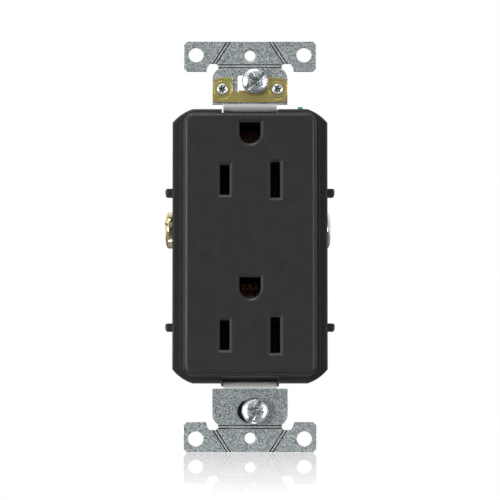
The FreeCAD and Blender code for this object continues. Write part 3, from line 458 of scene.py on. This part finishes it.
def worn_green():
    """Green dyed plating that shows bare metal on its highest specks."""
    material, tree = new_tree("screw_green")
    where = place(tree)
    wear = spread(tree, noise(tree, where, 0.7 * MM, 5.0, 0.7), 0.62, 0.72, 0, 1)
    tone = blend_colour(tree, noise(tree, where, 1.5 * MM), rgb(10, 118, 84), rgb(26, 142, 104))
    tone = blend_colour(tree, wear, tone, rgb(150, 165, 155))
    marks = noise(tree, where, 0.15 * MM, 3.0)
    gloss = spread(tree, marks, 0.3, 0.7, 0.22, 0.42)
    normal = bump(tree, marks, 0.006 * MM, 0.4, rounded_normal(tree, 0.12 * MM))
    shader(tree, Base_Color=tone, Metallic=0.75, Roughness=gloss, Normal=normal)
    return material


def fibre():
    """Pressed fibre sheet with long pale strands."""
    material, tree = new_tree("washer_fibre")
    strands = noise(tree, place(tree, (1, 1, 7)), 0.6 * MM, 5.0, 0.7, 0.6)
    tone = blend_colour(tree, spread(tree, strands, 0.35, 0.65, 0, 1), rgb(118, 104, 90), rgb(172, 160, 142))
    normal = bump(tree, strands, 0.03 * MM, 0.6, rounded_normal(tree, 0.1 * MM))
    shader(tree, Base_Color=tone, Roughness=0.85, Normal=normal)
    return material


def make_plastics():
    """The two moulded blacks and the nylon of the lower washer."""
    return {
        "black_face_plastic": plastic(
            "face_plastic", rgb(24, 24, 24), rgb(27, 27, 27), (0.4, 0.5), 0.16, 0.012, 0.15,
        ),
        "black_body_plastic": plastic(
            "body_plastic", rgb(27, 27, 28), rgb(32, 32, 33), (0.45, 0.6), 0.25, 0.02, 0.15,
        ),
        "washer_nylon": plastic(
            "washer_nylon", rgb(34, 34, 34), rgb(40, 40, 40), (0.35, 0.5), 0.3, 0.01, 0.1,
        ),
    }


def make_metals():
    """Brass, steel and plating. A stretch squeezes the drawn marks along one axis."""
    across_z = (1, 1, 8)
    return {
        "clip_brass": metal(
            "clip_brass", rgb(186, 182, 110), rgb(192, 164, 106), 2.6, (0.32, 0.46),
            stretch=(1, 1, 9), edge=0.14, rim=0.8, recess_shade=0.25,
        ),
        "rivet_steel": metal(
            "rivet_steel", rgb(246, 248, 248), rgb(176, 178, 181), 0.5, (0.2, 0.4),
            depth=0.02, bare=0.75, recess_shade=1.0,
        ),
        # brass toned darker: painted shade, so that the contacts read dark deep in their slots
        "contact_brass": metal(
            "contact_brass", rgb(150, 112, 64), rgb(116, 80, 46), 2, (0.3, 0.5), stretch=across_z,
        ),
        "contact_brass_plated": metal(
            "contact_plated", rgb(128, 124, 116), rgb(104, 96, 82), 2, (0.3, 0.5), stretch=across_z,
        ),
        "clamp_steel": metal(
            "clamp_steel", rgb(196, 199, 202), rgb(172, 176, 182), 2, (0.26, 0.42), stretch=(1, 6, 1),
        ),
        "screw_brass": metal(
            "screw_brass", rgb(238, 229, 190), rgb(204, 184, 130), 1.2, (0.07, 0.2), recess_shade=0.9,
        ),
        "screw_nickel": metal(
            "screw_nickel", rgb(222, 222, 220), rgb(196, 197, 198), 1.6, (0.14, 0.3),
        ),
        "screw_zinc": metal(
            "screw_zinc", rgb(252, 254, 255), rgb(176, 192, 198), 0.55, (0.14, 0.32),
            depth=0.04, edge=0.2, rim=1.0, bare=0.9, recess_shade=1.0,
        ),
    }


def make_materials():
    """One material for each material slot of the record."""
    special = {
        "galvanised_steel": galvanised_steel(),
        "screw_green": worn_green(),
        "washer_fibre": fibre(),
    }
    return {**make_plastics(), **make_metals(), **special}


def node_slots():
    return {row["node"]: row["material_slot"] for row in frame["record"]["subparts"]}


def dress_nodes(materials):
    """Give each CAD node the material of its slot; the ground contacts get a dark red of painted shade with
    painted glints.
    """
    # painted shade darkens the ground contacts deep in their holes, and painted glints speckle them
    shaded_glinting_contact = metal(
        "contact_painted_shade_glints", rgb(58, 26, 20), rgb(255, 186, 146), 0.5, (0.2, 0.4), depth=0.03, recess_shade=0.2,
    )
    for name, slot in node_slots().items():
        mesh = NODES[name].data
        mesh.materials.clear()
        mesh.materials.append(shaded_glinting_contact if name.endswith("ground_contact") else materials[slot])


# --------------------------------------------------------------------- screw meshes

def lathe(name, profile, segments):
    """A closed solid from (radius, height) points that start and end on the axis."""
    inner = profile[1:-1]
    vertices = [(0.0, 0.0, profile[0][1])]
    for radius, height in inner:
        for i in range(segments):
            angle = 2 * math.pi * i / segments
            vertices.append((radius * math.cos(angle), radius * math.sin(angle), height))
    vertices.append((0.0, 0.0, profile[-1][1]))
    last = len(vertices) - 1
    faces = [(0, 1 + (i + 1) % segments, 1 + i) for i in range(segments)]
    for row in range(len(inner) - 1):
        base = 1 + row * segments
        for i in range(segments):
            j = (i + 1) % segments
            faces.append((base + i, base + j, base + segments + j, base + segments + i))
    base = 1 + (len(inner) - 1) * segments
    faces += [(last, base + i, base + (i + 1) % segments) for i in range(segments)]
    mesh = bpy.data.meshes.new(name)
    mesh.from_pydata(vertices, [], faces)
    return mesh


def new_object(name, mesh):
    piece = bpy.data.objects.new(name, mesh)
    bpy.context.scene.collection.objects.link(piece)
    return piece


def head_profile(radius, height):
    """Pan head: flat underside, short upright rim, and a domed crown rounded into it."""
    rim = HEAD_RIM * height
    points = [(0.0, 0.0), (radius - RIM_ROUND, 0.0), (radius, RIM_ROUND), (radius, rim)]
    for i in range(1, CROWN_STEPS + 1):
        turn = math.pi / 2 * i / CROWN_STEPS
        points.append((radius * math.cos(turn) ** CROWN_BULGE, rim + (height - rim) * math.sin(turn)))
    points[-1] = (0.0, height)
    return points


def taper_block(name, low, high):
    """A six-sided block between two (half length, half width, height) rectangles."""
    vertices = []
    for a, b, z in (low, high):
        vertices += [(-a, -b, z), (a, -b, z), (a, b, z), (-a, b, z)]
    faces = [(3, 2, 1, 0), (4, 5, 6, 7), (0, 1, 5, 4), (1, 2, 6, 5), (2, 3, 7, 6), (3, 0, 4, 7)]
    mesh = bpy.data.meshes.new(name)
    mesh.from_pydata(vertices, [], faces)
    return new_object(name, mesh)


def cut_away(piece, cutters):
    """Apply a difference with each cutter and delete it."""
    for cutter in cutters:
        modifier = piece.modifiers.new("cut", "BOOLEAN")
        modifier.operation = "DIFFERENCE"
        modifier.solver = "EXACT"
        modifier.object = cutter
        graph = bpy.context.evaluated_depsgraph_get()
        piece.data = bpy.data.meshes.new_from_object(piece.evaluated_get(graph))
        piece.modifiers.clear()
        bpy.data.objects.remove(cutter)


def sized(shares, *sizes):
    return tuple(share * size for share, size in zip(shares, sizes))


def screw_head(name, radius, height, slot_width):
    """A pan head with a combined straight slot and cross recess."""
    head = new_object(name, lathe(name, head_profile(radius, height), HEAD_SEGMENTS))
    slot_sizes = (radius, slot_width, height)
    slot = taper_block("slot", sized(SLOT_FLOOR, *slot_sizes), sized(SLOT_MOUTH, *slot_sizes))
    cross_sizes = (radius, radius, height)
    wings = []
    for turn in (0, math.pi / 2):
        wing = taper_block("wing", sized(CROSS_FLOOR, *cross_sizes), sized(CROSS_MOUTH, *cross_sizes))
        wing.data.transform(Matrix.Rotation(turn, 4, "Z"))
        wings.append(wing)
    cut_away(head, [slot] + wings)
    return head


def thread(name, radius, length):
    """A shank with a helical thread and a blunt tip, from z = 0 down to z = -length."""
    rows = int(length / THREAD_PITCH * ROWS_PER_TURN)
    step = length / rows
    vertices = []
    for row in range(rows + 1):
        z = -row * step
        room = min(1.0, (length + z) / TIP_LENGTH)
        limit = radius - (1 - room) * TIP_TAPER
        for i in range(THREAD_SEGMENTS):
            share = i / THREAD_SEGMENTS
            phase = (z / THREAD_PITCH - share) % 1.0
            dip = abs(2 * phase - 1)
            sunk = max(0.0, min(1.0, THREAD_STEEPNESS * dip - THREAD_CREST))
            r = min(limit, radius - THREAD_DEPTH * sunk)
            angle = 2 * math.pi * share
            vertices.append((r * math.cos(angle), r * math.sin(angle), z))
    faces = []
    for row in range(rows):
        base = row * THREAD_SEGMENTS
        for i in range(THREAD_SEGMENTS):
            j = (i + 1) % THREAD_SEGMENTS
            faces.append((base + j, base + i, base + THREAD_SEGMENTS + i, base + THREAD_SEGMENTS + j))
    faces.append(tuple(range(THREAD_SEGMENTS)))
    faces.append(tuple(rows * THREAD_SEGMENTS + i for i in reversed(range(THREAD_SEGMENTS))))
    mesh = bpy.data.meshes.new(name)
    mesh.from_pydata(vertices, [], faces)
    return new_object(name, mesh)


def joined(name, pieces):
    """One object that holds all the pieces' meshes. The pieces are deleted."""
    vertices = []
    faces = []
    for piece in pieces:
        first = len(vertices)
        vertices += [vertex.co.copy() for vertex in piece.data.vertices]
        faces += [[first + i for i in face.vertices] for face in piece.data.polygons]
        bpy.data.objects.remove(piece)
    mesh = bpy.data.meshes.new(name)
    mesh.from_pydata(vertices, [], faces)
    return new_object(name, mesh)


def make_screw(node, axis, head_height, slot_width, spin, materials):
    """A threaded screw in the place of a CAD one. Axis is the direction its head faces."""
    low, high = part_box(node)
    along = max(range(3), key=lambda i: abs(axis[i]))
    radius = (high.z - low.z) / 2
    total = high[along] - low[along]
    outer = high[along] if axis[along] > 0 else low[along]
    seat = (low + high) / 2
    seat[along] = outer - axis[along] * head_height
    shank_r = BOX_SHANK_R if "box" in node else TERMINAL_SHANK_R
    name = node + "_threaded"
    head = screw_head(name + "_head", radius, head_height, slot_width)
    shank = thread(name + "_shank", shank_r, total - head_height)
    screw = joined(name, [head, shank])
    turn = Matrix.Rotation(math.radians(spin), 4, "Z")
    facing = Vector(axis).to_track_quat("Z", "Y").to_matrix().to_4x4()
    screw.data.transform(Matrix.Translation(seat) @ facing @ turn)
    screw.data.materials.clear()
    screw.data.materials.append(materials[node_slots()[node]])
    screw.data.shade_smooth()
    screw.data.set_sharp_from_angle(angle=SHARP_SCREW_EDGE)
    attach(screw, node)
    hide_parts(node)


def rivet_profile(head_r, length):
    """Upset tail, plain shank and a head with a raised rim, as (radius, height) points from the rear."""
    seat = length - RIVET_HEAD
    face_r, rounding = sized(TAIL_ROUND, head_r, RIVET_TAIL)
    points = [(0.0, 0.0), (face_r, 0.0), (head_r, rounding), (head_r, RIVET_TAIL)]
    points += [(RIVET_SHANK_R, RIVET_TAIL), (RIVET_SHANK_R, seat)]
    points += [(head_r * share, seat + height * MM) for share, height in RIM_OUTLINE]
    return points


def rivet_punches(head_r, length, lean):
    """Crossed wedges that punch a star into the head. Lean is in degrees."""
    floor = sized(PUNCH_FLOOR, head_r, head_r) + (length - PUNCH_DEPTH,)
    mouth = sized(PUNCH_MOUTH, head_r, head_r) + (length + PUNCH_OVER,)
    punches = []
    for i in range(PUNCHES):
        punch = taper_block("punch", floor, mouth)
        punch.data.transform(Matrix.Rotation(math.radians(180 / PUNCHES * i + lean), 4, "Z"))
        punches.append(punch)
    return punches


def make_rivets(materials):
    """The clip's two rivets, each with a star punched into its head."""
    low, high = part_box("ground_clip_rivets")
    head_r = (high.z - low.z) / 2
    length = high.y - low.y
    facing = Vector((0, -1, 0)).to_track_quat("Z", "Y").to_matrix().to_4x4()
    rivets = []
    for side in (-1, 1):
        rivet = new_object("rivet", lathe("rivet", rivet_profile(head_r, length), HEAD_SEGMENTS))
        cut_away(rivet, rivet_punches(head_r, length, PUNCH_LEAN * side))
        x = side * ((high.x - low.x) / 2 - head_r) + (low.x + high.x) / 2
        foot = Vector((x, high.y, (low.z + high.z) / 2))
        rivet.data.transform(Matrix.Translation(foot) @ facing)
        rivets.append(rivet)
    pair = joined("clip_rivets_punched", rivets)
    slot = node_slots()["ground_clip_rivets"]
    pair.data.materials.append(materials[slot])
    pair.data.shade_smooth()
    pair.data.set_sharp_from_angle(angle=SHARP_RIVET_EDGE)
    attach(pair, "outlet_body")
    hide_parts("ground_clip_rivets")


def make_screws(materials):
    for node, ((height, slot_width), axis, spin) in SCREWS.items():
        make_screw(node, axis, height, slot_width, spin, materials)


make_camera()
make_world()
make_lights()
make_floor()
all_materials = make_materials()
dress_nodes(all_materials)
make_screws(all_materials)
make_rivets(all_materials)
